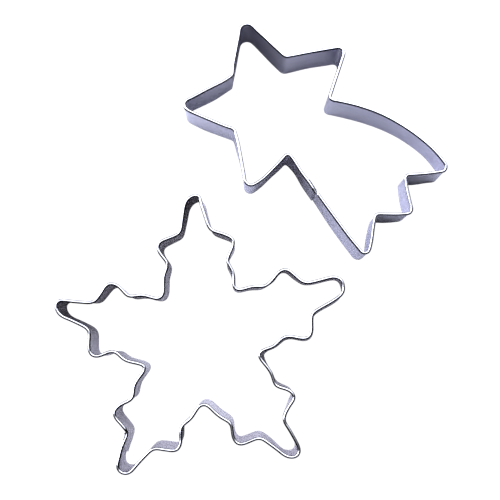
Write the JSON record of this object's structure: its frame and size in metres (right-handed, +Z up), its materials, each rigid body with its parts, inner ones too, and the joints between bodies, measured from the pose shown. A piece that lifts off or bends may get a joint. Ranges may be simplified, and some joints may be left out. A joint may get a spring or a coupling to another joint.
{
  "type": "cookie cutter",
  "caption": "Set of cookie cutters, a comet and a snowflake, each a stainless steel strip bent on edge with a rolled safety rim, a bare cutting edge and a spot-welded lap",
  "frame": {"origin": "middle of the pair's outline box, on the plane of the cutting edges", "axes": "+Z up from the cutting edges to the rolled rims; +Y along the longest side of the pair, from the snowflake to the comet; +X to the right"},
  "size_m": [0.1166, 0.1338, 0.02],
  "materials": {
    "strip_steel": "bright rolled stainless steel strip",
    "weld_steel": "dull spot weld nugget"
  },
  "bodies": {
    "comet_cutter": {"comet_strip": "strip_steel", "comet_spot_welds": "weld_steel"},
    "snowflake_cutter": {"snowflake_strip": "strip_steel", "snowflake_spot_welds": "weld_steel"}
  },
  "joints": [
    {"name": "snowflake_lift", "type": "slide", "parent": "comet_cutter", "child": "snowflake_cutter", "axis": [0, 0, 1], "range_m": [0, 0.05]}
  ]
}
